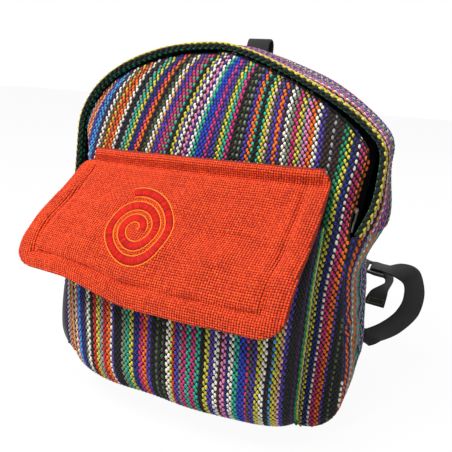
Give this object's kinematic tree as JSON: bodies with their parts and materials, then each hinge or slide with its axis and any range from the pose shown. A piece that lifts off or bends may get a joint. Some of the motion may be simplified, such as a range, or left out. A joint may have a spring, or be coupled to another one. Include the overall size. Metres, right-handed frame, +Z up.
{
  "type": "striped woven backpack",
  "caption": "Small arch-topped backpack of striped handwoven cotton, with an orange flap embroidered with a red spiral over a front pocket, a curved zip and padded straps.",
  "frame": {"origin": "middle of the flat base, on the surface that the bag stands on", "axes": "+Z up, the front with its flap faces -Y, and +X is to the right as seen from the front"},
  "size_m": [0.3696, 0.2639, 0.3538],
  "materials": {
    "striped_cloth": "matte warp-faced weave of thick cotton yarns in many colours",
    "orange_cloth": "matte open plain weave in one orange yarn",
    "red_thread": "satin stitch with a soft sheen",
    "green_cloth": "matte dark green cloth",
    "black_webbing": "ribbed synthetic webbing",
    "zip_tape": "fine herringbone tape with teeth",
    "zip_metal": "worn nickel",
    "black_plastic": "moulded, slightly glossy"
  },
  "bodies": {
    "bag": {"front_panel": "striped_cloth", "back_panel": "striped_cloth", "side_gusset": "striped_cloth", "top_gusset": "striped_cloth", "front_pocket": "striped_cloth", "anchor_patch": "striped_cloth", "zip_tape_front": "zip_tape", "zip_tape_back": "zip_tape", "zip_stop_right": "zip_metal", "zip_stop_left": "zip_metal", "pocket_flap": "orange_cloth", "embroidered_spiral": "red_thread", "haul_loop": "black_webbing", "shoulder_pad_right": "striped_cloth", "buckle_loop_right": "black_webbing", "ladder_lock_right": "black_plastic", "long_webbing_right": "black_webbing", "corner_tab_right": "green_cloth", "shoulder_pad_left": "striped_cloth", "buckle_loop_left": "black_webbing", "ladder_lock_left": "black_plastic", "long_webbing_left": "black_webbing", "corner_tab_left": "green_cloth"},
    "slider": {"zip_slider": "zip_metal"},
    "pull": {"zip_pull": "zip_metal"}
  },
  "joints": [
    {"name": "zip_slide", "type": "slide", "parent": "bag", "child": "slider", "axis": [0.1137, 0.1263, 0.9855], "range_m": [0, 0.04]},
    {"name": "pull_swing", "type": "hinge", "parent": "slider", "child": "pull", "pos_m": [0.13908, -0.044, 0.21062], "axis": [0.0145, -0.992, 0.1255], "range_deg": [0, 10]}
  ]
}
